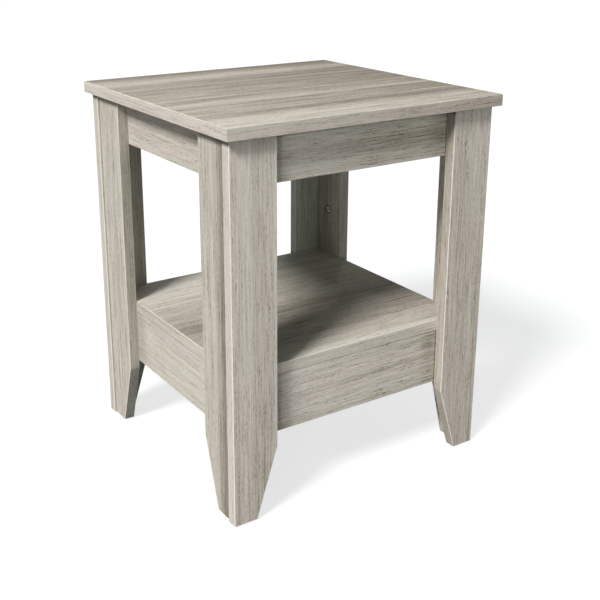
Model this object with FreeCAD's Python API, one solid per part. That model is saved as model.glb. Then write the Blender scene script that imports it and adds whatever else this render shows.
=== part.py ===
import FreeCAD, Part
import math
import os
from FreeCAD import Placement, Rotation, Vector

# Nightstand with an open shelf, made of flat laminated boards. Millimetres.
# The origin is on the floor below the middle of the top, +X is to the right,
# the front faces -Y and +Z is up.

# Overall size
TOP_WIDTH = 406.0
TOP_DEPTH = 393.0
HEIGHT = 500.0

# Boards, the bands on their edges and the rounding of a band's outer edges
BOARD = 15.0
BAND = 1.0
BAND_ROUND = 0.8

# Legs: a face board at the front or back, and a side board that butts on it
SIDE_OVERHANG = 7.5
FRONT_OVERHANG = 10.0
FACE_WIDTH = 62.5
SIDE_WIDTH = 60.0
SIDE_RECESS = 2.5
TAPER_HEIGHT = 93.0
TAPER_CUT = 29.5

# Aprons under the top, the shelf and the skirts under it
APRON_HEIGHT = 61.0
SHELF_TOP = 197.0
SKIRT_HEIGHT = 76.5

# Cam locks and their bolts
CAM_RADIUS = 7.4
CAM_DEPTH = 12.0
CAM_REACH = 27.0
CAM_BORE_RADIUS = 7.5
CAM_BORE_DEPTH = 12.5
CAM_CROSS = (8.0, 1.6, 2.0)
LEG_CAM_HEIGHT = 269.0
BOLT_THREAD = (2.5, 9.0)
BOLT_SHANK_RADIUS = 2.0
BOLT_HEAD = (3.2, 2.5)
BOLT_HEAD_FROM_CAM_AXIS = 3.0
BOLT_BORE_RADIUS = 4.0

# Wooden dowels: the radius, the depth in a board's face and in a board's edge
DOWEL_RADIUS = 4.0
DOWEL_IN_FACE = 10.0
DOWEL_IN_EDGE = 20.0
LEG_DOWEL_HEIGHTS = (62.0, 230.0, 440.0)
PANEL_DOWEL_X = 90.0
PANEL_DOWEL_Y = 70.0

# Screws: shank radius and length, head radius and height, cross recess
LEG_SCREW = (2.0, 25.0, 3.75, 2.4)
BRACKET_SCREW = (1.75, 12.0, 3.25, 2.0)
RECESS = (4.0, 0.9, 1.2)
LEG_SCREW_INSET = 15.0

# Places of the fasteners on an apron or skirt, as shares of its height
CAM_SHARE = 0.72
DOWEL_SHARE = 0.28
SCREW_SHARE = 0.3

# Steel angle brackets
BRACKET_LEAF = 20.0
BRACKET_WIDTH = 16.0
BRACKET_STEEL = 1.6
BRACKET_HOLE_RADIUS = 2.0
BRACKET_HOLE_OUT = 12.0

# Nail-on glides under the side boards' feet
GLIDE_HEIGHT = 2.0
GLIDE_RADIUS = 6.5
GLIDE_BEHIND_FACE_BOARD = 13.0
NAIL_RADIUS = 1.0
NAIL_LENGTH = 13.0
NAIL_HEAD = (2.4, 0.7)
NAIL_RECESS = 0.4

# Clearance round a fastener and past its end
FIT = 0.05
END_FIT = 0.5

# Planes that the boards share
LEG_X = TOP_WIDTH / 2 - SIDE_OVERHANG
LEG_Y = TOP_DEPTH / 2 - FRONT_OVERHANG
FRAME_X = LEG_X - SIDE_RECESS - BOARD
FRAME_Y = LEG_Y - BOARD
FRAME_INNER_X = FRAME_X - BOARD
FRAME_INNER_Y = FRAME_Y - BOARD
LEG_BOTTOM = GLIDE_HEIGHT
TOP_UNDER = HEIGHT - BOARD
APRON_BOTTOM = TOP_UNDER - APRON_HEIGHT
SHELF_UNDER = SHELF_TOP - BOARD
SKIRT_BOTTOM = SHELF_UNDER - SKIRT_HEIGHT

X = Vector(1, 0, 0)
Y = Vector(0, 1, 0)
Z = Vector(0, 0, 1)
ORIGIN = Vector(0, 0, 0)

# Corners by their signs along X and Y, and sides by their turn about Z from the rear
CORNERS = {"front_left": (-1, -1), "front_right": (1, -1), "rear_left": (-1, 1), "rear_right": (1, 1)}
SIDE_TURNS = (0, 90, 180, 270)

nodes = {}


def at_corner(solid, sign_x, sign_y):
    """The rear right corner's solid, mirrored to another corner."""
    if sign_x < 0:
        solid = solid.mirror(ORIGIN, X)
    if sign_y < 0:
        solid = solid.mirror(ORIGIN, Y)
    return solid


def four_corners(solids):
    """Solids of the rear right corner, copied to all four corners."""
    return [at_corner(solid, *signs) for solid in solids for signs in CORNERS.values()]


def placed(solid, seat, axis):
    """A copy of a solid that is drawn along +Z, set on seat along axis."""
    copy = solid.copy()
    copy.Placement = Placement(seat, Rotation(Z, axis))
    return copy


def rod(radius, start, axis, length):
    """A round bar, also used as the drill for a hole."""
    return Part.makeCylinder(radius, length, start, axis)


def centred_box(size_x, size_y, size_z, middle):
    """A block about its middle."""
    corner = middle - Vector(size_x, size_y, size_z) / 2
    return Part.makeBox(size_x, size_y, size_z, corner)


def in_space(plane, u, v, w):
    """A point of a drawing plane, with w across the plane."""
    return {"xy": Vector(u, v, w), "xz": Vector(u, w, v), "yz": Vector(w, u, v)}[plane]


def prism(plane, outline, near, far):
    """A board with the given outline, from near to far across its plane."""
    points = [in_space(plane, u, v, near) for u, v in outline]
    face = Part.Face(Part.makePolygon(points + points[:1]))
    return face.extrude(in_space(plane, 0, 0, far - near))


def crossing(first, second):
    """Where two lines cross, each given as a point and a direction."""
    u0, v0, du0, dv0 = first
    u1, v1, du1, dv1 = second
    along = ((u1 - u0) * dv1 - (v1 - v0) * du1) / (du0 * dv1 - dv0 * du1)
    return u0 + along * du0, v0 + along * dv0


def inset(outline, banded):
    """The board's outline under its bands; the outline runs anticlockwise."""
    lines = []
    for (u0, v0), (u1, v1), has_band in zip(outline, outline[1:] + outline[:1], banded):
        length = math.hypot(u1 - u0, v1 - v0)
        du = (u1 - u0) / length
        dv = (v1 - v0) / length
        depth = BAND if has_band else 0.0
        lines.append((u0 - dv * depth, v0 + du * depth, du, dv))
    return [crossing(before, after) for before, after in zip(lines[-1:] + lines[:-1], lines)]


def band_strip(plane, outer, inner, near, far):
    """One edge band, rounded along both of its outer edges."""
    strip = prism(plane, outer + inner[::-1], near, far)
    middle = [(start + end) / 2 for start, end in zip(*outer)]
    middles = [in_space(plane, *middle, w) for w in (near, far)]
    outer_edges = [edge for edge in strip.Edges
                   if min((edge.CenterOfMass - point).Length for point in middles) < FIT]
    return strip.makeFillet(BAND_ROUND, outer_edges)


def banded_board(plane, outline, banded, near, far):
    """A board and the bands on its edges, which meet in mitres."""
    inner = inset(outline, banded)
    bands = []
    for i, has_band in enumerate(banded):
        j = (i + 1) % len(outline)
        if has_band:
            bands.append(band_strip(plane, [outline[i], outline[j]], [inner[i], inner[j]], near, far))
    return prism(plane, inner, near, far), bands


def rectangle(u_half, v_low, v_high):
    """An outline that is even about u = 0."""
    return [(-u_half, v_low), (u_half, v_low), (u_half, v_high), (-u_half, v_high)]


def leg_outline(outer, width):
    """A leg board from its outer edge inwards, tapered at the foot on its inner edge."""
    inner = outer - width
    return [(outer, LEG_BOTTOM), (outer, TOP_UNDER), (inner, TOP_UNDER),
            (inner, LEG_BOTTOM + TAPER_HEIGHT), (inner + TAPER_CUT, LEG_BOTTOM)]


def cross_recess(size, face, outward):
    """The cutter for a cross recess in a screw or cam face."""
    length, width, depth = size
    bars = Part.makeBox(length, width, depth, Vector(-length / 2, -width / 2, 0))
    bars = bars.fuse(Part.makeBox(width, length, depth, Vector(-width / 2, -length / 2, 0)))
    return placed(bars, face, outward * -1)


def pan_screw(seat, axis, sizes):
    """A pan-head screw with its head on seat and its shank along axis."""
    radius, length, head_radius, head_height = sizes
    head = rod(head_radius, seat, axis * -1, head_height)
    head = head.cut(cross_recess(RECESS, seat - axis * head_height, axis * -1))
    return rod(radius, seat, axis, length).fuse(head).removeSplitter()


def screw_hole(seat, axis, sizes):
    """The drill for a screw's shank."""
    radius, length = sizes[:2]
    return rod(radius + FIT, seat, axis, length + END_FIT)


def dowel(joint, axis, in_edge=DOWEL_IN_EDGE):
    """A dowel across a joint: axis points into the board that it enters by the face."""
    return rod(DOWEL_RADIUS, joint - axis * in_edge, axis, in_edge + DOWEL_IN_FACE)


def dowel_hole(joint, axis, in_edge=DOWEL_IN_EDGE):
    """The drill for such a dowel, for both boards."""
    length = in_edge + DOWEL_IN_FACE + 2 * END_FIT
    return rod(DOWEL_RADIUS + FIT, joint - axis * (in_edge + END_FIT), axis, length)


def bolt_passage(radius, near, far):
    """The way for a bolt through a cam: round at the bolt's axis and open at the cam's blind end."""
    way = rod(radius, Vector(0, -near, 0), Y * -1, far - near)
    return way.fuse(Part.makeBox(CAM_DEPTH, far - near, 2 * radius, Vector(0, -far, -radius)))


def cam_lock(joint):
    """A cam in a board's inner face, at its reach from the joint with the board behind it."""
    head_radius, head_length = BOLT_HEAD
    head_near = CAM_REACH - BOLT_HEAD_FROM_CAM_AXIS - head_length
    face = Vector(-BOARD / 2, -CAM_REACH, 0)
    cam = rod(CAM_RADIUS, face, X, CAM_DEPTH)
    cam = cam.cut(bolt_passage(BOLT_SHANK_RADIUS + END_FIT, 0, CAM_REACH - BOLT_HEAD_FROM_CAM_AXIS))
    cam = cam.cut(bolt_passage(head_radius + END_FIT, head_near - END_FIT, head_near + head_length + END_FIT))
    cam = cam.cut(cross_recess(CAM_CROSS, face, X * -1))
    return cam.translated(joint)


def cam_bolt(joint):
    """The bolt of a cam: its thread is in the board behind the joint."""
    thread_radius, thread_length = BOLT_THREAD
    head_radius, head_length = BOLT_HEAD
    head_far = CAM_REACH - BOLT_HEAD_FROM_CAM_AXIS
    bolt = rod(thread_radius, ORIGIN, Y, thread_length)
    bolt = bolt.fuse(rod(BOLT_SHANK_RADIUS, ORIGIN, Y * -1, head_far))
    bolt = bolt.fuse(rod(head_radius, Vector(0, head_length - head_far, 0), Y * -1, head_length))
    return bolt.removeSplitter().translated(joint)


def cam_bores(joint):
    """The drills for a cam, for its bolt's way to the joint and for the bolt's thread."""
    thread_radius, thread_length = BOLT_THREAD
    face = Vector(-BOARD / 2, -CAM_REACH, 0)
    bores = [rod(CAM_BORE_RADIUS, face, X, CAM_BORE_DEPTH),
             rod(BOLT_BORE_RADIUS, ORIGIN, Y * -1, CAM_REACH),
             rod(thread_radius + FIT, ORIGIN, Y, thread_length + END_FIT)]
    return [bore.translated(joint) for bore in bores]


def add_board(name, board, bands, drills):
    """Keeps a drilled board and the bands on its edges as two nodes."""
    nodes[name] = [board.cut(drills)]
    nodes[name + "_bands"] = bands


def add_frame_box(kind, bottom, top, panel):
    """Four boards under a panel, with their fasteners; returns the drills for the panel and the legs."""
    height = top - bottom
    corner = Vector(FRAME_X - BOARD / 2, FRAME_INNER_Y, bottom)
    cam_joint = corner + Z * (CAM_SHARE * height)
    dowel_joint = corner + Z * (DOWEL_SHARE * height)
    face_seat = Vector(LEG_X - FACE_WIDTH + LEG_SCREW_INSET, FRAME_INNER_Y, bottom + SCREW_SHARE * height)
    side_seat = Vector(FRAME_INNER_X, FRAME_Y - SIDE_WIDTH + LEG_SCREW_INSET, bottom + SCREW_SHARE * height)
    panel_joints = [Vector(PANEL_DOWEL_X, FRAME_Y - BOARD / 2, top),
                    Vector(FRAME_X - BOARD / 2, PANEL_DOWEL_Y, top)]

    nodes[kind + "_cam_locks"] = four_corners([cam_lock(cam_joint)])
    nodes[kind + "_cam_bolts"] = four_corners([cam_bolt(cam_joint)])
    nodes[kind + "_dowels"] = four_corners([dowel(dowel_joint, Y)])
    nodes[kind + "_leg_screws"] = four_corners([pan_screw(face_seat, Y, LEG_SCREW),
                                                pan_screw(side_seat, X, LEG_SCREW)])
    nodes[panel + "_dowels"] = four_corners([dowel(joint, Z, BOARD) for joint in panel_joints])

    leg_drills = [screw_hole(face_seat, Y, LEG_SCREW), screw_hole(side_seat, X, LEG_SCREW)]
    panel_drills = four_corners([dowel_hole(joint, Z, BOARD) for joint in panel_joints])
    panel_drills += add_brackets(panel, top)
    corner_drills = cam_bores(cam_joint) + [dowel_hole(dowel_joint, Y)] + leg_drills
    drills = four_corners(corner_drills) + panel_drills

    rear = banded_board("xz", rectangle(FRAME_X, bottom, top), (True, False, False, False),
                        FRAME_INNER_Y, FRAME_Y)
    right = banded_board("yz", rectangle(FRAME_INNER_Y, bottom, top), (True, False, False, False),
                         FRAME_INNER_X, FRAME_X)
    for name, (board, bands), signs in (("rear", rear, (1, 1)), ("front", rear, (1, -1)),
                                        ("right", right, (1, 1)), ("left", right, (-1, 1))):
        add_board(name + "_" + kind, at_corner(board, *signs), [at_corner(band, *signs) for band in bands], drills)
    return panel_drills, leg_drills


def add_brackets(panel, under):
    """An angle bracket in the middle of each side, with its screws; returns the screws' drills."""
    wall_leaf = Part.makeBox(BRACKET_WIDTH, BRACKET_STEEL, BRACKET_LEAF,
                             Vector(-BRACKET_WIDTH / 2, -BRACKET_STEEL, -BRACKET_LEAF))
    panel_leaf = Part.makeBox(BRACKET_WIDTH, BRACKET_LEAF, BRACKET_STEEL,
                              Vector(-BRACKET_WIDTH / 2, -BRACKET_LEAF, -BRACKET_STEEL))
    wall_seat = Vector(0, -BRACKET_STEEL, -BRACKET_HOLE_OUT)
    panel_seat = Vector(0, -BRACKET_HOLE_OUT, -BRACKET_STEEL)
    bracket = wall_leaf.fuse(panel_leaf).removeSplitter()
    bracket = bracket.cut([rod(BRACKET_HOLE_RADIUS, wall_seat, Y, BRACKET_STEEL),
                           rod(BRACKET_HOLE_RADIUS, panel_seat, Z, BRACKET_STEEL)])
    screws = [pan_screw(wall_seat, Y, BRACKET_SCREW), pan_screw(panel_seat, Z, BRACKET_SCREW)]
    drills = [screw_hole(wall_seat, Y, BRACKET_SCREW), screw_hole(panel_seat, Z, BRACKET_SCREW)]

    def on_sides(solids):
        """Copies on the inner faces of the four boards."""
        copies = []
        for turn in SIDE_TURNS:
            inner_face = FRAME_INNER_X if turn % 180 else FRAME_INNER_Y
            for solid in solids:
                copies.append(solid.translated(Vector(0, inner_face, under)).rotated(ORIGIN, Z, turn))
        return copies

    nodes[panel + "_brackets"] = on_sides([bracket])
    nodes[panel + "_bracket_screws"] = on_sides(screws)
    return on_sides(drills)


def add_panel(name, x_half, y_half, under, drills):
    """A flat panel with bands on all four edges."""
    outline = rectangle(x_half, -y_half, y_half)
    board, bands = banded_board("xy", outline, (True, True, True, True), under, under + BOARD)
    add_board(name, board, bands, drills)


def add_legs(drills):
    """Four legs of two boards, joined by a cam and dowels, on glides."""
    side_middle = FRAME_X + BOARD / 2
    cam_joint = Vector(side_middle, FRAME_Y, LEG_CAM_HEIGHT)
    dowel_joints = [Vector(side_middle, FRAME_Y, height) for height in LEG_DOWEL_HEIGHTS]
    glide = Vector(side_middle, FRAME_Y - GLIDE_BEHIND_FACE_BOARD, 0)
    nail_hole = rod(NAIL_RADIUS + FIT, glide, Z, NAIL_LENGTH + NAIL_RECESS + END_FIT)

    nodes["leg_cam_locks"] = four_corners([cam_lock(cam_joint)])
    nodes["leg_cam_bolts"] = four_corners([cam_bolt(cam_joint)])
    nodes["leg_dowels"] = four_corners([dowel(joint, Y) for joint in dowel_joints])
    add_glides(glide, nail_hole)

    drills = drills + cam_bores(cam_joint) + [dowel_hole(joint, Y) for joint in dowel_joints] + [nail_hole]
    face = banded_board("xz", leg_outline(LEG_X, FACE_WIDTH), (True, False, True, True, False), FRAME_Y, LEG_Y)
    side = banded_board("yz", leg_outline(FRAME_Y, SIDE_WIDTH), (False, False, True, True, False),
                        FRAME_X, FRAME_X + BOARD)
    for corner, signs in CORNERS.items():
        for kind, (board, bands) in (("face", face), ("side", side)):
            add_board(f"{corner}_leg_{kind}", at_corner(board, *signs),
                      [at_corner(band, *signs) for band in bands], four_corners(drills))


def add_glides(place, nail_hole):
    """Round glides, each held by a nail whose head is sunk in it."""
    head_radius, head_height = NAIL_HEAD
    head_seat = place + Z * NAIL_RECESS
    sink = rod(head_radius + FIT, place, Z, NAIL_RECESS + head_height)
    pad = rod(GLIDE_RADIUS, place, Z, GLIDE_HEIGHT).cut([sink, nail_hole])
    nail = rod(head_radius, head_seat, Z, head_height).fuse(rod(NAIL_RADIUS, head_seat, Z, NAIL_LENGTH))
    nodes["glide_pads"] = four_corners([pad])
    nodes["glide_nails"] = four_corners([nail.removeSplitter()])


def export(name, solids):
    """Writes one node: a single solid, or a group of separate ones."""
    shape = solids[0] if len(solids) == 1 else Part.makeCompound(solids)
    shape.exportStep(os.path.join("parts", name + ".step"))


top_drills, apron_leg_drills = add_frame_box("apron", APRON_BOTTOM, TOP_UNDER, "top")
shelf_drills, skirt_leg_drills = add_frame_box("skirt", SKIRT_BOTTOM, SHELF_UNDER, "shelf")
add_panel("top_panel", TOP_WIDTH / 2, TOP_DEPTH / 2, TOP_UNDER, top_drills)
add_panel("shelf_panel", FRAME_X, FRAME_Y, SHELF_UNDER, shelf_drills)
add_legs(apron_leg_drills + skirt_leg_drills)

os.makedirs("parts", exist_ok=True)
for node_name, node_solids in nodes.items():
    export(node_name, node_solids)
print(len(nodes), "nodes", sum(len(group) for group in nodes.values()), "solids")
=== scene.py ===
"""Finishes, studio light and camera for the nightstand, set around its packed construction."""

import math
from collections import namedtuple

import bpy
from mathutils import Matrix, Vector


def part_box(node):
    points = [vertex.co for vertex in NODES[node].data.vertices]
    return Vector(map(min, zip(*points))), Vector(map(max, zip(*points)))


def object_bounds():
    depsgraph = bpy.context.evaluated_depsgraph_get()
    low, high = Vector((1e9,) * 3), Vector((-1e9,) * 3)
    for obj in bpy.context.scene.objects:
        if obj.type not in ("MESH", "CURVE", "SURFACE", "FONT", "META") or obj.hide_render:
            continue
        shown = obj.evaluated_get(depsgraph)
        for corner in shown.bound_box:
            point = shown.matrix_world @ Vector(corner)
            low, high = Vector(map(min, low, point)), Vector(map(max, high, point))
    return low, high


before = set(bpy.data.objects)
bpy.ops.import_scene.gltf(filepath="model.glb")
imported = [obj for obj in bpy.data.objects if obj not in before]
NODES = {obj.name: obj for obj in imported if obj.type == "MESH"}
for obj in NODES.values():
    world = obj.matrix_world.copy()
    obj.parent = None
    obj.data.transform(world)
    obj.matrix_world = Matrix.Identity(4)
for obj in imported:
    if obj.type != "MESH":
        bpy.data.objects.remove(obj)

CAD_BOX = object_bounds()
MM = 0.001

# Camera: its place in metres, its turn to the right and its dip in degrees, and its lens in millimetres
CAMERA_PLACE = (-0.715, -1.089, 0.708)
CAMERA_TURN = 33.1
CAMERA_DIP = 17.9
CAMERA_LENS = 59.0
CAMERA_SHIFT = (0.03, -0.10)

# Light: azimuth is 0 in front of the table and -90 on its left, and all angles are in degrees
KEY_SUN = {"azimuth": -67.5, "elevation": 44.0, "level": 1.23, "spread": 15.0}
FILL_SUN = {"azimuth": -47.0, "elevation": 5.0, "level": 0.21, "spread": 9.0, "glossy": False}
FRONT_SUN = {"azimuth": -10.0, "elevation": 6.0, "level": 0.075, "spread": 20.0, "glossy": False}
FRONT_TINT = (0.72, 1.0, 0.95)
FACE_SUN = {"azimuth": -10.0, "elevation": 25.0, "level": 0.17, "spread": 50.0, "glossy": False}
FACE_TINT = (1.0, 0.89, 0.90)
REAR_SUN = {"azimuth": 135.0, "elevation": 2.5, "level": 0.75, "spread": 5.0, "glossy": False}
NO_TINT = (1.0, 1.0, 1.0)
SKY_LOW = 0.01
SKY_HIGH = 0.17
SKY_TINT = (0.76, 1.0, 0.97, 1.0)
WHITE = (1.0, 1.0, 1.0, 1.0)
FLOOR_HALF = 8.0
FLOOR_DROP = 0.1 * MM
FLOOR_PALE = (0.32, 0.32, 0.32, 1.0)
FLOOR_BOUNCE = (0.095, 0.12, 0.115, 1.0)
FLOOR_LIFT = 0.74


def srgb(red, green, blue):
    """A colour as the eye reads it, from 0 to 255, in the linear form that sockets hold."""
    linear = [((part / 255 + 0.055) / 1.055) ** 2.4 for part in (red, green, blue)]
    return (*linear, 1.0)


class Graph:
    """A material's node tree, with short calls for the nodes that the finishes share."""

    def __init__(self, name):
        self.material = bpy.data.materials.new(name)
        self.material.use_nodes = True
        self.tree = self.material.node_tree
        self.tree.nodes.clear()
        self.shader = self.add("ShaderNodeBsdfPrincipled")
        output = self.add("ShaderNodeOutputMaterial")
        self.feed(output.inputs["Surface"], self.shader.outputs["BSDF"])

    def add(self, kind, **settings):
        node = self.tree.nodes.new(kind)
        for key, value in settings.items():
            setattr(node, key, value)
        return node

    def feed(self, target, value):
        """Links a socket to another one, or writes a constant into it."""
        if isinstance(value, bpy.types.NodeSocket):
            self.tree.links.new(value, target)
        else:
            target.default_value = value

    def fill(self, node, values):
        """Feeds a node's first inputs in their order, and gives its first output."""
        for target, value in zip(node.inputs, values):
            self.feed(target, value)
        return node.outputs[0]

    def surface(self, name, value):
        self.feed(self.shader.inputs[name], value)

    def math(self, operation, *values):
        return self.fill(self.add("ShaderNodeMath", operation=operation), values)

    def vector(self, operation, *values):
        return self.fill(self.add("ShaderNodeVectorMath", operation=operation), values)

    def join(self, first, second, third):
        return self.fill(self.add("ShaderNodeCombineXYZ"), (first, second, third))

    def parts(self, vector):
        node = self.add("ShaderNodeSeparateXYZ")
        self.feed(node.inputs[0], vector)
        return node.outputs

    def place(self):
        """The point on the surface, in metres in the row frame."""
        return self.add("ShaderNodeTexCoord").outputs["Object"]

    def axis(self, name):
        """The surface point's place on one axis."""
        return self.parts(self.place())["XYZ".index(name)]

    def distance(self, axis, place):
        """How far the surface point is from a place on one axis."""
        return self.math("ABSOLUTE", self.math("SUBTRACT", self.axis(axis), place))

    def noise(self, place, stretch, detail, roughness=0.5):
        """Noise from 0 to 1 whose cells are 1 / stretch metres long on each axis."""
        node = self.add("ShaderNodeTexNoise")
        self.feed(node.inputs["Vector"], self.vector("MULTIPLY", place, stretch))
        self.feed(node.inputs["Scale"], 1.0)
        self.feed(node.inputs["Detail"], detail)
        self.feed(node.inputs["Roughness"], roughness)
        return node.outputs[0]

    def span(self, value, low, high, new_low=0.0, new_high=1.0):
        """Maps low..high smoothly to new_low..new_high, and stops at both ends."""
        node = self.add("ShaderNodeMapRange", interpolation_type="SMOOTHSTEP")
        return self.fill(node, (value, low, high, new_low, new_high))

    def ramp(self, value, stops, interpolation="LINEAR"):
        node = self.add("ShaderNodeValToRGB")
        band = node.color_ramp
        band.interpolation = interpolation
        while len(band.elements) < len(stops):
            band.elements.new(1.0)
        for element, (position, colour) in zip(band.elements, stops):
            element.position = position
            element.color = colour
        self.feed(node.inputs[0], value)
        return node.outputs[0]

    def mix(self, share, first, second, blend="MIX"):
        """Mixes two colours, whose sockets come after those for numbers and vectors."""
        node = self.add("ShaderNodeMix", data_type="RGBA", blend_type=blend)
        self.feed(node.inputs[0], share)
        self.feed(node.inputs[6], first)
        self.feed(node.inputs[7], second)
        return node.outputs[2]

    def bump(self, height, strength, distance):
        node = self.add("ShaderNodeBump")
        self.feed(node.inputs["Strength"], strength)
        self.feed(node.inputs["Distance"], distance)
        self.feed(node.inputs["Height"], height)
        self.surface("Normal", node.outputs[0])


# Laminate: a printed greige oak paper under a satin film
PAPER = (
    (0.06, srgb(116, 106, 95)),
    (0.20, srgb(142, 131, 119)),
    (0.36, srgb(172, 162, 151)),
    (0.52, srgb(194, 184, 174)),
    (0.66, srgb(208, 199, 190)),
    (0.84, srgb(221, 213, 205)),
)
MIDDLE_TONE = 0.5
MIDDLE_NOISE = 0.5
PINK_TINT = (1.011, 0.996, 1.004, 1.0)
GREEN_TINT = (0.980, 1.006, 0.986, 1.0)
TINT_LIMITS = (0.34, 0.66)
SEED_STEP = (3.17, 1.73, 2.39)

# Layers of noise in the paper: cells per metre along and across the grain, the layer's share in the
# tone, or for a bend its width in metres, and the noise's own detail and roughness
Layer = namedtuple("Layer", "along across share detail roughness", defaults=(1.0, 1.0, 0.55))
SLOW_BEND = Layer(3.5, 9.0, 7.0 * MM, roughness=0.5)
QUICK_BEND = Layer(16.0, 40.0, 1.2 * MM, roughness=0.5)
BROAD = Layer(0.9, 24.0, 0.30)
MIDDLE = Layer(1.2, 105.0, 0.28)
LONG = Layer(3.0, 280.0, 0.25)
SLIM = Layer(8.0, 640.0, 0.27)
HAIR = Layer(24.0, 1350.0, 1.8, detail=0.0)
HAIR_BREAK = Layer(170.0, 900.0, detail=1.5, roughness=0.7)
DASH = Layer(7.0, 420.0, -0.12)
PORE = Layer(20.0, 1250.0, detail=0.0)
PORE_BREAK = Layer(140.0, 760.0, detail=1.5, roughness=0.7)
TINT = Layer(1.3, 48.0, detail=2.0, roughness=0.5)

# The noise at which a line starts to show, and at which it shows in full
HAIR_LIMITS = (0.40, 0.62)
DASH_LIMITS = (0.40, 0.28)
PORE_LIMITS = (0.54, 0.67)
PORE_BREAK_LIMITS = (0.46, 0.58)

# Hairs lighten the paper only a little, and pores are weaker where it is greener
HAIR_LIGHT = 0.07
PORE_SHADE = (0.68, 0.67, 0.65, 1.0)
PORE_TINT_LIMITS = (0.36, 0.62)
PORE_LEAST = 0.35

# The film over the paper, and its relief
FILM_GLOSS = 0.20
FILM_ROUGH = (0.62, 0.74)
FILM_LIMITS = (0.25, 0.75)
PORE_DENT = -0.6
STREAK_RISE = 0.5
FILM_BUMP = (0.25, 0.25 * MM)

# A band's two rounded edges, rubbed lighter and given a painted highlight: where it starts and is full, in
# from the edge, and how the fine grain breaks it up
Edge = namedtuple("Edge", "axis low high wear")
EDGE_WEAR_AND_HIGHLIGHT = srgb(232, 226, 217)
EDGE_LIGHT_START = 1.4 * MM
EDGE_LIGHT_FULL = 0.4 * MM
EDGE_LIGHT_LIMITS = (0.30, 0.60)
EDGE_LIGHT_LEAST = 0.6

# Paper made darker beside a joint, where the thin ones are dark joint lines and the wide ones painted
# shade: the axis, the joint's place on it, and the reach. uneven is the share by which it comes and goes,
# and depth is its strength.
Seam = namedtuple("Seam", "axis place reach uneven depth", defaults=(0.0, 1.0))
JOINT_AND_SHADE_DARK = (0.36, 0.34, 0.31, 1.0)
JOINT_AND_SHADE_CORE = 0.25
SEAM_GAPS = (22.0, 22.0, 22.0)
SEAM_GAP_DETAIL = 1.0
SEAM_GAP_LIMITS = (0.38, 0.60)

# Bare particleboard: chips per metre on each axis, and how squarely an end faces up or down
CHIP_PITCH = (520.0, 700.0, 300.0)
CHIP_DARK = srgb(138, 108, 74)
CHIP_LIGHT = srgb(205, 178, 138)
CHIP_DENT = -1.2
END_FACING = 0.9


def grain_place(graph, axes, seed, mitre=None):
    """The surface point as (along the grain, across it, through the board), on this board's own paper.

    With a mitre, the half width and half depth of a panel, the grain turns the corner with its bands."""
    x, y, z = graph.parts(graph.place())
    by_name = {"X": x, "Y": y, "Z": z}
    place = graph.join(*(by_name[axis] for axis in axes))
    if mitre:
        beyond_x = graph.math("SUBTRACT", graph.math("ABSOLUTE", x), mitre[0])
        beyond_y = graph.math("SUBTRACT", graph.math("ABSOLUTE", y), mitre[1])
        on_flank = graph.math("GREATER_THAN", beyond_x, beyond_y)
        place = graph.mix(on_flank, place, graph.join(y, x, z))
    shift = [step * seed for step in SEED_STEP]
    return graph.vector("ADD", place, shift)


def streaks(graph, place, layer):
    """A layer's noise, from 0 to 1."""
    stretch = (layer.along, layer.across, layer.across)
    return graph.noise(place, stretch, layer.detail, layer.roughness)


def centred(graph, place, layer, strength=1.0):
    """A layer's noise about 0, as wide as its share times a strength."""
    share = layer.share * strength
    return graph.math("MULTIPLY_ADD", streaks(graph, place, layer), share, -share * MIDDLE_NOISE)


def lines(graph, place, layer, limits):
    """A layer's noise as lines, 1 where they show and 0 between them."""
    return graph.span(streaks(graph, place, layer), *limits)


def wander(graph, place):
    """Bends the grain a few millimetres off its straight line, and gives that move too."""
    move = graph.math("ADD", centred(graph, place, SLOW_BEND), centred(graph, place, QUICK_BEND))
    return graph.vector("ADD", place, graph.join(0.0, move, 0.0)), move


def grain_tone(graph, place, tone, swing, crisp):
    """The tone of the print about a given one, from broad bands down to hairs and dashes."""
    for layer, strength in ((BROAD, swing), (MIDDLE, swing * crisp), (LONG, swing * crisp), (SLIM, swing)):
        tone = graph.math("ADD", centred(graph, place, layer, strength), tone)
    hair = graph.math("SUBTRACT", streaks(graph, place, HAIR), MIDDLE_NOISE)
    hair = graph.math("MINIMUM", hair, HAIR_LIGHT)
    hair = graph.math("MULTIPLY", hair, lines(graph, place, HAIR_BREAK, HAIR_LIMITS))
    tone = graph.math("MULTIPLY_ADD", hair, HAIR.share * swing, tone)
    dash = lines(graph, place, DASH, DASH_LIMITS)
    return graph.math("MULTIPLY_ADD", dash, DASH.share * swing, tone)


def layout_tone(graph, axes, box, layout, move):
    """Broad light and dark bands at chosen shares of the board's width, from -0.5 to 0.5."""
    low, high = box
    index = "XYZ".index(axes[1])
    wide = high[index] - low[index]
    bent = graph.math("ADD", graph.axis(axes[1]), move)
    share = graph.math("MULTIPLY_ADD", bent, 1 / wide, -low[index] / wide)
    stops = [(position, (tone, tone, tone, 1.0)) for position, tone in layout]
    return graph.math("SUBTRACT", graph.ramp(share, stops, "EASE"), MIDDLE_TONE)


def drift_tone(graph, axes, box, drift):
    """A slow change of tone along the grain, the whole drift from one end to the other."""
    low, high = box
    index = "XYZ".index(axes[0])
    slope = drift / (high[index] - low[index])
    middle = (low[index] + high[index]) / 2
    return graph.math("MULTIPLY_ADD", graph.axis(axes[0]), slope, -slope * middle)


def pores(graph, place, tint):
    """The broken pores, 1 on the line, which are weaker where the paper is greener."""
    pore = lines(graph, place, PORE, PORE_LIMITS)
    pore = graph.math("MULTIPLY", pore, lines(graph, place, PORE_BREAK, PORE_BREAK_LIMITS))
    return graph.math("MULTIPLY", pore, graph.span(tint, *PORE_TINT_LIMITS, PORE_LEAST, 1.0))


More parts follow.
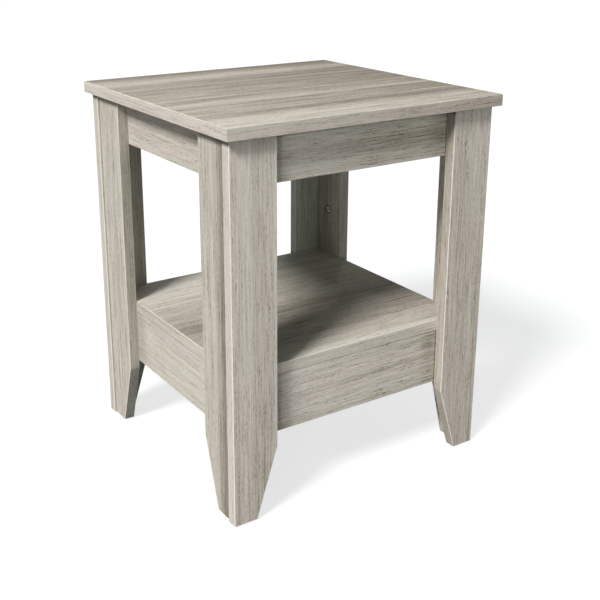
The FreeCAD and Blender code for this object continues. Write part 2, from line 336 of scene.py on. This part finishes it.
def worn_and_highlit_edge(graph, colour, edge, fine):
    """Lightens a band along its two rounded edges, more in some places than in others: wear, and a painted
    highlight.
    """
    half = (edge.high - edge.low) / 2
    off = graph.distance(edge.axis, (edge.low + edge.high) / 2)
    marks = graph.span(off, half - EDGE_LIGHT_START, half - EDGE_LIGHT_FULL, 0.0, edge.wear)
    edge_share = graph.math("MULTIPLY", marks, graph.span(fine, *EDGE_LIGHT_LIMITS, EDGE_LIGHT_LEAST, 1.0))
    return graph.mix(edge_share, colour, EDGE_WEAR_AND_HIGHLIGHT)


def joint_line_and_shade(graph, colour, darkening):
    """Darkens the paper beside a joint: a thin dark joint line, and painted shade where the reach is wide.
    """
    off = graph.distance(darkening.axis, darkening.place)
    share = graph.span(off, JOINT_AND_SHADE_CORE * darkening.reach, darkening.reach, darkening.depth, 0.0)
    if darkening.uneven:
        gap = graph.noise(graph.place(), SEAM_GAPS, SEAM_GAP_DETAIL)
        share = graph.math("MULTIPLY", share, graph.span(gap, *SEAM_GAP_LIMITS, 1.0 - darkening.uneven, 1.0))
    return graph.mix(share, colour, JOINT_AND_SHADE_DARK, "MULTIPLY")


def raw_end(graph, colour, height):
    """Bare particleboard on the ends that face straight up or down."""
    chips = graph.add("ShaderNodeTexVoronoi")
    graph.feed(chips.inputs["Vector"], graph.vector("MULTIPLY", graph.place(), CHIP_PITCH))
    graph.feed(chips.inputs["Scale"], 1.0)
    chip_tone = graph.parts(chips.outputs["Color"])[0]
    chip_colour = graph.mix(chip_tone, CHIP_DARK, CHIP_LIGHT)
    chip_height = graph.math("MULTIPLY", chips.outputs["Distance"], CHIP_DENT)
    upward = graph.parts(graph.add("ShaderNodeNewGeometry").outputs["Normal"])[2]
    end = graph.math("GREATER_THAN", graph.math("ABSOLUTE", upward), END_FACING)
    paper_relief = graph.join(height, height, height)
    chip_relief = graph.join(chip_height, chip_height, chip_height)
    relief = graph.parts(graph.mix(end, paper_relief, chip_relief))[0]
    return graph.mix(end, colour, chip_colour), relief


def laminate(name, axes, seed, box, tone=0.0, drift=0.0, swing=1.0, crisp=1.0, hue=None, layout=None,
             raw_ends=False, edge=None, mitre=None, joints_and_shades=()):
    """The finish of one board or of its bands.

    axes names the grain, width and thickness axes, and seed the place that the paper is taken from.
    tone is lighter or darker than the middle tone, drift is its change along the grain, and layout
    its broad bands across the grain. swing is the strength of the grain, crisp is that of its middle
    and long streaks beside the others, and hue tints the whole paper. raw_ends leaves the ends that
    face up and down without paper. edge is a band's Edge, rubbed lighter and given a painted highlight,
    mitre is as grain_place takes it, and joints_and_shades holds the dark joint lines and the painted shade
    beside the joints."""
    graph = Graph(name)
    place, move = wander(graph, grain_place(graph, axes, seed, mitre))
    level = grain_tone(graph, place, MIDDLE_TONE + tone, swing, crisp)
    if layout:
        level = graph.math("ADD", level, layout_tone(graph, axes, box, layout, move))
    if drift:
        level = graph.math("ADD", level, drift_tone(graph, axes, box, drift))
    colour = graph.ramp(level, PAPER)

    tint = streaks(graph, place, TINT)
    tint_colour = graph.mix(graph.span(tint, *TINT_LIMITS), GREEN_TINT, PINK_TINT)
    colour = graph.mix(1.0, colour, tint_colour, "MULTIPLY")
    if hue:
        colour = graph.mix(1.0, colour, hue, "MULTIPLY")
    pore = pores(graph, place, tint)
    colour = graph.mix(pore, colour, PORE_SHADE, "MULTIPLY")
    fine = streaks(graph, place, SLIM)
    # wear and a painted highlight along the band edges
    if edge:
        colour = worn_and_highlit_edge(graph, colour, edge, fine)
    # dark joint lines, and painted shade beside the joints
    for darkening in joints_and_shades:
        colour = joint_line_and_shade(graph, colour, darkening)

    height = graph.math("MULTIPLY_ADD", pore, PORE_DENT, graph.math("MULTIPLY", fine, STREAK_RISE))
    if raw_ends:
        colour, height = raw_end(graph, colour, height)
    graph.surface("Base Color", colour)
    graph.surface("Roughness", graph.span(fine, *FILM_LIMITS, *FILM_ROUGH))
    graph.surface("Specular IOR Level", FILM_GLOSS)
    graph.bump(height, *FILM_BUMP)
    return graph.material


def dress(name, material):
    for slot in NODES[name].material_slots:
        slot.material = material


# Broad bands of the paper: shares of the board's width, and the tone there. The shelf's, the front apron's
# and the near side board's also paint shade
TOP_LAYOUT = (
    (0.00, 0.70), (0.05, 0.80), (0.11, 0.70), (0.14, 0.51), (0.32, 0.49), (0.36, 0.66), (0.41, 0.41),
    (0.46, 0.53), (0.54, 0.40), (0.66, 0.43), (0.78, 0.36), (0.84, 0.68), (0.91, 0.48), (0.97, 0.28),
)
# painted shade: the dark middle deepens the shadow across the shelf, beside broad bands of the paper
SHELF_BANDS_AND_SHADE = ((0.0, 0.68), (0.07, 0.53), (0.18, 0.36), (0.45, 0.31), (0.75, 0.57), (1.0, 0.72))
SHELF_BAND_LAYOUT = ((0.0, 0.50), (0.25, 0.44), (1.0, 0.30))
# painted shade: darker towards the top, under the top's overhang
FRONT_APRON_SHADE_LAYOUT = ((0.0, 0.66), (0.3, 0.55), (0.6, 0.47), (1.0, 0.44))
FRONT_SKIRT_LAYOUT = ((0.0, 0.50), (0.70, 0.50), (0.85, 0.60), (1.0, 0.62))
NEAR_FACE_LAYOUT = ((0.0, 0.52), (0.10, 0.50), (0.30, 0.56), (0.55, 0.46), (0.85, 0.46), (1.0, 0.56))
# painted shadow: the dark strip at the joint is the shadow of the face board's edge, beside broad bands of
# the paper
NEAR_SIDE_BANDS_AND_SHADE = ((0.0, 0.20), (0.20, 0.22), (0.26, 0.32), (0.40, 0.38), (0.50, 0.49), (1.0, 0.49))
# painted shade: a cooler tint for the rear right leg, whose inner faces stand in shade
REAR_RIGHT_SHADE_TINT = (0.965, 1.0, 0.99, 1.0)

# Each board's paper where the photograph shows it, as laminate takes it. Some drifts, hues and layouts
# paint light and shade, as marked
BOARD_LOOKS = {
    # painted light: the drift makes the top lighter on the left, towards the key lamp, and darker on the
    # right
    "top_panel": {
        "tone": -0.15, "drift": -0.23, "swing": 1.15, "crisp": 1.3,
        "hue": (0.989, 1.0, 0.968, 1.0), "layout": TOP_LAYOUT,
    },
    "shelf_panel": {
        "tone": -0.01, "drift": -0.12, "swing": 1.05,
        "hue": (0.984, 1.0, 0.989, 1.0), "layout": SHELF_BANDS_AND_SHADE,
    },
    "front_apron": {
        "tone": 0.03, "drift": -0.22, "swing": 1.15,
        "hue": (1.012, 1.0, 0.994, 1.0), "layout": FRONT_APRON_SHADE_LAYOUT,
    },
    "left_apron": {"swing": 0.9},
    "front_skirt": {"tone": 0.08, "drift": -0.24, "swing": 1.25, "layout": FRONT_SKIRT_LAYOUT},
    "left_skirt": {"tone": 0.08, "drift": -0.06, "swing": 0.75},
    "front_left_leg_face": {
        "tone": 0.05, "drift": 0.18, "swing": 0.85,
        "hue": (1.007, 1.0, 1.0, 1.0), "layout": NEAR_FACE_LAYOUT,
    },
    "front_left_leg_side": {"swing": 0.8, "layout": NEAR_SIDE_BANDS_AND_SHADE},
    "front_right_leg_face": {"tone": 0.03, "drift": 0.08, "swing": 0.9, "hue": (1.010, 1.0, 1.005, 1.0)},
    "front_right_leg_side": {"tone": -0.08},
    # painted shade: a cooler tint for the rear left leg's face, whose inner face stands in shade
    "rear_left_leg_face": {"tone": 0.07, "hue": (0.985, 1.0, 1.0, 1.0)},
    "rear_left_leg_side": {"tone": 0.03},
    "rear_right_leg_face": {"hue": REAR_RIGHT_SHADE_TINT},
    "rear_right_leg_side": {"hue": REAR_RIGHT_SHADE_TINT},
}

# The same for their bands
PLAIN_BAND = {"tone": 0.03, "swing": 0.6}
BAND_LOOKS = {
    # painted light: the drift makes the top's bands lighter on the left and darker on the right
    "top_panel": {"tone": -0.03, "drift": -0.22},
    "shelf_panel": {"tone": 0.06, "drift": -0.10, "layout": SHELF_BAND_LAYOUT},
    "front_left_leg_face": {"tone": 0.12},
    "front_right_leg_face": {"tone": -0.15},
    "rear_left_leg_side": {"tone": -0.12},
    "rear_right_leg_face": {"tone": 0.08},
    "rear_right_leg_side": {"tone": 0.08},
}
BAND_SEED = 0.37
# the strength of the wear and painted highlight on the legs' and the panels' band edges
LEG_WEAR_AND_HIGHLIGHT = 0.7
PANEL_WEAR_AND_HIGHLIGHT = 0.25

# Beside the joints: thin dark joint lines at the shelf and the legs, and painted shade under the top, in
# the corners by the legs, under the top's overhang on the near leg's face and down the right front leg's
# bands
SHELF_REACH = 0.8 * MM
SHELF_UNEVEN = 0.7
SHELF_BAND_DEPTH = 0.6
FLANK_DEPTH = 0.3
JOINT_REACH = 2.2 * MM
# painted shade under the top, on the aprons, the legs' side boards and the legs' bands
UNDER_TOP_SHADE_REACH = 9.5 * MM
# painted shade in the corners beside the legs, on the front and rear boards and the flank skirts
CORNER_SHADE_REACH = 36.0 * MM
CORNER_SHADE_DEPTH = 0.37
# painted shadow of the top's overhang on the near leg's face
OVERHANG_SHADE_REACH = 24.0 * MM
OVERHANG_SHADE_DEPTH = 0.36
# painted shadow of the top and the apron down the right front leg's bands
SHADED_REACH = 45.0 * MM
SHADED_DEPTH = 0.6

ENDS = ("front", "rear")
FLANKS = ("left", "right")


def board_rows():
    """Each board's name with its grain, width and thickness axes, in a fixed order."""
    rows = [("top_panel", "XYZ"), ("shelf_panel", "XYZ")]
    for part in ("apron", "skirt"):
        rows += [(f"{end}_{part}", "XZY") for end in ENDS]
        rows += [(f"{flank}_{part}", "YZX") for flank in FLANKS]
    for end in ENDS:
        for flank in FLANKS:
            rows += [(f"{end}_{flank}_leg_face", "ZXY"), (f"{end}_{flank}_leg_side", "ZYX")]
    return rows


def end_joints_and_shades():
    """The dark joint lines of a front or rear board with the legs at its two ends, and painted shade in the
    corners there.
    """
    leg_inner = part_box("front_right_leg_face_bands")[0].x
    places = (-leg_inner, leg_inner)
    joints = [Seam("X", place, JOINT_REACH) for place in places]
    # painted shade in the corners beside the legs
    return joints + [Seam("X", place, CORNER_SHADE_REACH, depth=CORNER_SHADE_DEPTH) for place in places]


def skirt_joints_and_shades(name):
    """A skirt's dark joint line with the shelf, and by the legs its joint lines and painted corner shade.
    """
    shelf_joint = Seam("Z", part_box("shelf_panel")[0].z, SHELF_REACH, SHELF_UNEVEN)
    if name.startswith(ENDS):
        return [shelf_joint, *end_joints_and_shades()]
    # painted shade in the corner beside the rear leg
    rear_leg_shade = Seam("Y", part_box("rear_left_leg_side_bands")[0].y, CORNER_SHADE_REACH, depth=CORNER_SHADE_DEPTH)
    return [shelf_joint._replace(depth=FLANK_DEPTH), rear_leg_shade]


def board_joints_and_shades(name):
    """A board's dark joint lines, and its painted shade under the top, under the top's overhang and in the
    corners by the legs.
    """
    # painted shade under the top
    under_top_shade = Seam("Z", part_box("top_panel")[0].z, UNDER_TOP_SHADE_REACH)
    if name.endswith("_apron"):
        return [under_top_shade, *end_joints_and_shades()] if name.startswith(ENDS) else [under_top_shade]
    if name.endswith("_skirt"):
        return skirt_joints_and_shades(name)
    if name.endswith("_leg_side"):
        low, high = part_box(name)
        face_joint = Seam("Y", high.y if name.startswith("rear") else low.y, JOINT_REACH)
        return [under_top_shade, face_joint]
    # painted shadow of the top's overhang on the near leg's face
    if name == "front_left_leg_face":
        return [under_top_shade._replace(reach=OVERHANG_SHADE_REACH, depth=OVERHANG_SHADE_DEPTH)]
    return []


def band_joints_and_shades(name):
    """The shelf bands' dark joint line, and the legs' bands' painted shade under the top."""
    low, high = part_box(name)
    if name == "shelf_panel":
        return [Seam("Z", low.z, SHELF_REACH, SHELF_UNEVEN, SHELF_BAND_DEPTH)]
    if "_leg_" not in name:
        return []
    # painted shade under the top
    under_top_shade = Seam("Z", high.z, UNDER_TOP_SHADE_REACH)
    # painted shadow of the top and the apron down the right front leg's bands
    if name == "front_right_leg_face":
        return [under_top_shade, under_top_shade._replace(reach=SHADED_REACH, depth=SHADED_DEPTH)]
    return [under_top_shade]


def dress_board(name, axes, seed):
    looks = BOARD_LOOKS.get(name, {})
    raw_ends = "_leg_" in name
    finish = laminate(name, axes, seed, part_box(name), raw_ends=raw_ends, joints_and_shades=board_joints_and_shades(name), **looks)
    dress(name, finish)


def dress_bands(name, axes, seed):
    bands = f"{name}_bands"
    band_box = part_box(bands)
    looks = {**PLAIN_BAND, **BAND_LOOKS.get(name, {}), "joints_and_shades": band_joints_and_shades(name)}
    if name.endswith("_panel"):
        looks["mitre"] = band_box[1].xy
    thick = "XYZ".index(axes[2])
    low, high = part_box(name)
    wear = LEG_WEAR_AND_HIGHLIGHT if "_leg_" in name else PANEL_WEAR_AND_HIGHLIGHT
    looks["edge"] = Edge(axes[2], low[thick], high[thick], wear)
    dress(bands, laminate(bands, axes, seed + BAND_SEED, band_box, **looks))


def dress_boards():
    for seed, (name, axes) in enumerate(board_rows(), start=1):
        dress_board(name, axes, seed)
        dress_bands(name, axes, seed)


# Hardware: noise cells per metre on each axis, two colours, the roughness, and the bump's strength
# and depth
NOISE_LIMITS = (0.3, 0.7)
FINE_DETAIL = 3.0
PLAIN_DETAIL = 2.0
ZINC_SKIN = (900.0, 900.0, 900.0)
ZINC_COLOURS = (srgb(96, 95, 92), srgb(142, 141, 137))
ZINC_ROUGH = (0.36, 0.55)
ZINC_BUMP = (0.3, 0.1 * MM)
STEEL_STREAK = (260.0, 260.0, 1400.0)
STEEL_PATCH = (120.0, 120.0, 120.0)
STEEL_COLOURS = (srgb(172, 171, 168), srgb(205, 204, 200))
SHEET_COLOURS = (srgb(160, 160, 158), srgb(198, 198, 196))
STEEL_ROUGH = (0.26, 0.44)
STEEL_BUMP = (0.15, 0.05 * MM)
BEECH_FLECK = (500.0, 500.0, 500.0)
BEECH_COLOURS = (srgb(182, 142, 102), srgb(216, 182, 142))
BEECH_ROUGH = (0.55, 0.75)
BEECH_BUMP = (0.3, 0.1 * MM)
NYLON_SKIN = (1400.0, 1400.0, 1400.0)
NYLON_SCUFF = (300.0, 700.0, 300.0)
NYLON_COLOURS = (srgb(150, 145, 134), srgb(178, 173, 162))
NYLON_ROUGH = (0.40, 0.58)
NYLON_BUMP = (0.15, 0.05 * MM)

# A cam face's painted glint, on metal rubbed bright round its centre, and painted shade in its recess: its
# centre's y in the rear half, its z, and the x past which the recess lies
CamMarks = namedtuple("CamMarks", "y z face")
CAM_GLINT_RADIUS = 4.6 * MM
CAM_GLINT_FULL = 0.75 * CAM_GLINT_RADIUS
CAM_RECESS = 0.3 * MM
CAM_WORN_AND_GLINT = srgb(240, 240, 236)
CAM_RECESS_SHADE = srgb(40, 40, 38)


def two_tone(graph, noise, colours):
    """Two colours, mixed by noise."""
    return graph.ramp(noise, tuple(zip(NOISE_LIMITS, colours)))


def glint_and_recess_shade(graph, colour, marks):
    """A painted glint on metal rubbed bright round a cam's centre, and painted shade in its recess. The
    cams mirror each other.
    """
    x, y, z = graph.parts(graph.place())
    off_y = graph.math("SUBTRACT", graph.math("ABSOLUTE", y), marks.y)
    off_z = graph.math("SUBTRACT", z, marks.z)
    squares = graph.math("ADD", graph.math("POWER", off_y, 2.0), graph.math("POWER", off_z, 2.0))
    glint = graph.span(graph.math("SQRT", squares), CAM_GLINT_FULL, CAM_GLINT_RADIUS, 1.0, 0.0)
    deep = graph.math("GREATER_THAN", graph.math("ABSOLUTE", x), marks.face)
    return graph.mix(glint, colour, graph.mix(deep, CAM_WORN_AND_GLINT, CAM_RECESS_SHADE))


def cast_zinc(name, marks=None):
    """Dull cast metal, with a painted glint and painted recess shade on a cam's face where marks are given.
    """
    graph = Graph(name)
    skin = graph.noise(graph.place(), ZINC_SKIN, FINE_DETAIL)
    colour = two_tone(graph, skin, ZINC_COLOURS)
    if marks:
        colour = glint_and_recess_shade(graph, colour, marks)
    graph.surface("Base Color", colour)
    graph.surface("Metallic", 1.0)
    graph.surface("Roughness", graph.span(skin, *NOISE_LIMITS, *ZINC_ROUGH))
    graph.bump(skin, *ZINC_BUMP)
    return graph.material


def plated_steel(name, colours):
    graph = Graph(name)
    streak = graph.noise(graph.place(), STEEL_STREAK, FINE_DETAIL)
    patch = graph.noise(graph.place(), STEEL_PATCH, PLAIN_DETAIL)
    graph.surface("Base Color", two_tone(graph, patch, colours))
    graph.surface("Metallic", 1.0)
    graph.surface("Roughness", graph.span(streak, *NOISE_LIMITS, *STEEL_ROUGH))
    graph.bump(streak, *STEEL_BUMP)
    return graph.material


def beech():
    graph = Graph("beech")
    fleck = graph.noise(graph.place(), BEECH_FLECK, FINE_DETAIL)
    graph.surface("Base Color", two_tone(graph, fleck, BEECH_COLOURS))
    graph.surface("Roughness", graph.span(fleck, *NOISE_LIMITS, *BEECH_ROUGH))
    graph.bump(fleck, *BEECH_BUMP)
    return graph.material


def nylon():
    graph = Graph("nylon")
    skin = graph.noise(graph.place(), NYLON_SKIN, PLAIN_DETAIL)
    scuff = graph.noise(graph.place(), NYLON_SCUFF, FINE_DETAIL)
    graph.surface("Base Color", two_tone(graph, scuff, NYLON_COLOURS))
    graph.surface("Roughness", graph.span(scuff, *NOISE_LIMITS, *NYLON_ROUGH))
    graph.bump(skin, *NYLON_BUMP)
    return graph.material


def leg_cam_marks():
    low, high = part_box("leg_cam_locks")
    radius = (high.z - low.z) / 2
    board_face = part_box("front_right_leg_side")[0].x
    return CamMarks(high.y - radius, low.z + radius, board_face + CAM_RECESS)


def dress_hardware():
    steel = plated_steel("plated_steel", STEEL_COLOURS)
    by_ending = {
        "_cam_locks": cast_zinc("cast_zinc"), "_dowels": beech(), "_pads": nylon(),
        "_brackets": plated_steel("plated_sheet", SHEET_COLOURS),
        "_bolts": steel, "_screws": steel, "_nails": steel,
    }
    for name in NODES:
        for ending, material in by_ending.items():
            if name.endswith(ending):
                dress(name, material)
    # painted glint and painted recess shade on the legs' cam faces
    dress("leg_cam_locks", cast_zinc("leg_cast_zinc", leg_cam_marks()))


# Studio
def towards(azimuth, elevation):
    turn = math.radians(azimuth)
    lift = math.radians(elevation)
    return Vector((math.sin(turn) * math.cos(lift), -math.cos(turn) * math.cos(lift), math.sin(lift)))


def add_sun(name, azimuth, elevation, level, spread, glossy=True, tint=NO_TINT, only=()):
    """A distant lamp, under which at level 1 a white face square to it renders white.

    only holds the names of the nodes that it lights, where it doesn't light them all."""
    light = bpy.data.lights.new(name, "SUN")
    light.energy = level * math.pi
    light.angle = math.radians(spread)
    light.color = tint
    lamp = bpy.data.objects.new(name, light)
    lamp.rotation_euler = towards(azimuth, elevation).to_track_quat("Z", "Y").to_euler()
    lamp.visible_glossy = glossy
    if only:
        lit = bpy.data.collections.new(f"{name}_lit")
        for node in only:
            lit.objects.link(NODES[node])
        lamp.light_linking.receiver_collection = lit
    bpy.context.scene.collection.objects.link(lamp)


def front_nodes():
    """The front boards with their bands, and the bands of the top and the shelf."""
    boards = [name for name in NODES if name.startswith("front_") and "_leg_side" not in name]
    return boards + ["top_panel_bands", "shelf_panel_bands"]


def seen_directly(add, feed):
    """1 for rays that show the floor or the background itself: from the camera, a reflection or glass."""
    path = add("ShaderNodeLightPath")
    total = path.outputs["Is Camera Ray"]
    for name in ("Is Glossy Ray", "Is Transmission Ray"):
        node = add("ShaderNodeMath")
        node.operation = "MAXIMUM"
        feed(total, node.inputs[0])
        feed(path.outputs[name], node.inputs[1])
        total = node.outputs[0]
    return total


def choose(add, feed, hidden, seen):
    """One shader for the light that a surface throws, and another where the surface itself is seen."""
    choice = add("ShaderNodeMixShader")
    feed(seen_directly(add, feed), choice.inputs[0])
    feed(hidden.outputs[0], choice.inputs[1])
    feed(seen.outputs[0], choice.inputs[2])
    return choice.outputs[0]


def add_sky():
    """White where it is seen, and a soft grey that is brighter overhead where it lights the table."""
    world = bpy.data.worlds.new("studio")
    bpy.context.scene.world = world
    world.use_nodes = True
    tree = world.node_tree
    tree.nodes.clear()
    add, feed = tree.nodes.new, tree.links.new
    up = add("ShaderNodeSeparateXYZ")
    feed(add("ShaderNodeTexCoord").outputs["Generated"], up.inputs[0])
    level = add("ShaderNodeMapRange")
    for target, number in zip(level.inputs[1:5], (0.0, 1.0, SKY_LOW, SKY_HIGH)):
        target.default_value = number
    feed(up.outputs["Z"], level.inputs[0])
    ambient = add("ShaderNodeBackground")
    ambient.inputs["Color"].default_value = SKY_TINT
    feed(level.outputs[0], ambient.inputs["Strength"])
    backdrop = add("ShaderNodeBackground")
    backdrop.inputs["Color"].default_value = WHITE
    feed(choose(add, feed, ambient, backdrop), add("ShaderNodeOutputWorld").inputs["Surface"])


def floor_material():
    """Pale where it is seen, with the shadow kept, and a darker floor for the light that it throws back."""
    material = bpy.data.materials.new("floor")
    material.use_nodes = True
    tree = material.node_tree
    tree.nodes.clear()
    add, feed = tree.nodes.new, tree.links.new
    pale = add("ShaderNodeBsdfDiffuse")
    pale.inputs["Color"].default_value = FLOOR_PALE
    lift = add("ShaderNodeEmission")
    lift.inputs["Strength"].default_value = FLOOR_LIFT
    shown = add("ShaderNodeAddShader")
    feed(pale.outputs[0], shown.inputs[0])
    feed(lift.outputs[0], shown.inputs[1])
    bounce = add("ShaderNodeBsdfDiffuse")
    bounce.inputs["Color"].default_value = FLOOR_BOUNCE
    feed(choose(add, feed, bounce, shown), add("ShaderNodeOutputMaterial").inputs["Surface"])
    return material


def add_floor():
    mesh = bpy.data.meshes.new("floor")
    side = FLOOR_HALF
    corners = [(-side, -side, 0.0), (side, -side, 0.0), (side, side, 0.0), (-side, side, 0.0)]
    mesh.from_pydata(corners, [], [(0, 1, 2, 3)])
    mesh.materials.append(floor_material())
    floor = bpy.data.objects.new("floor", mesh)
    floor.location.z = CAD_BOX[0].z - FLOOR_DROP
    bpy.context.scene.collection.objects.link(floor)


def add_camera():
    data = bpy.data.cameras.new("camera")
    data.lens = CAMERA_LENS
    data.shift_x, data.shift_y = CAMERA_SHIFT
    camera = bpy.data.objects.new("camera", data)
    camera.location = CAMERA_PLACE
    camera.rotation_euler = (math.radians(90 - CAMERA_DIP), 0.0, math.radians(-CAMERA_TURN))
    bpy.context.scene.collection.objects.link(camera)
    bpy.context.scene.camera = camera


dress_boards()
dress_hardware()
add_floor()
add_sky()
add_sun("key", **KEY_SUN)
add_sun("fill", **FILL_SUN)
add_sun("front", tint=FRONT_TINT, **FRONT_SUN)
add_sun("face", tint=FACE_TINT, only=front_nodes(), **FACE_SUN)
add_sun("rear", **REAR_SUN)
add_camera()
bpy.context.scene.view_settings.view_transform = "Standard"
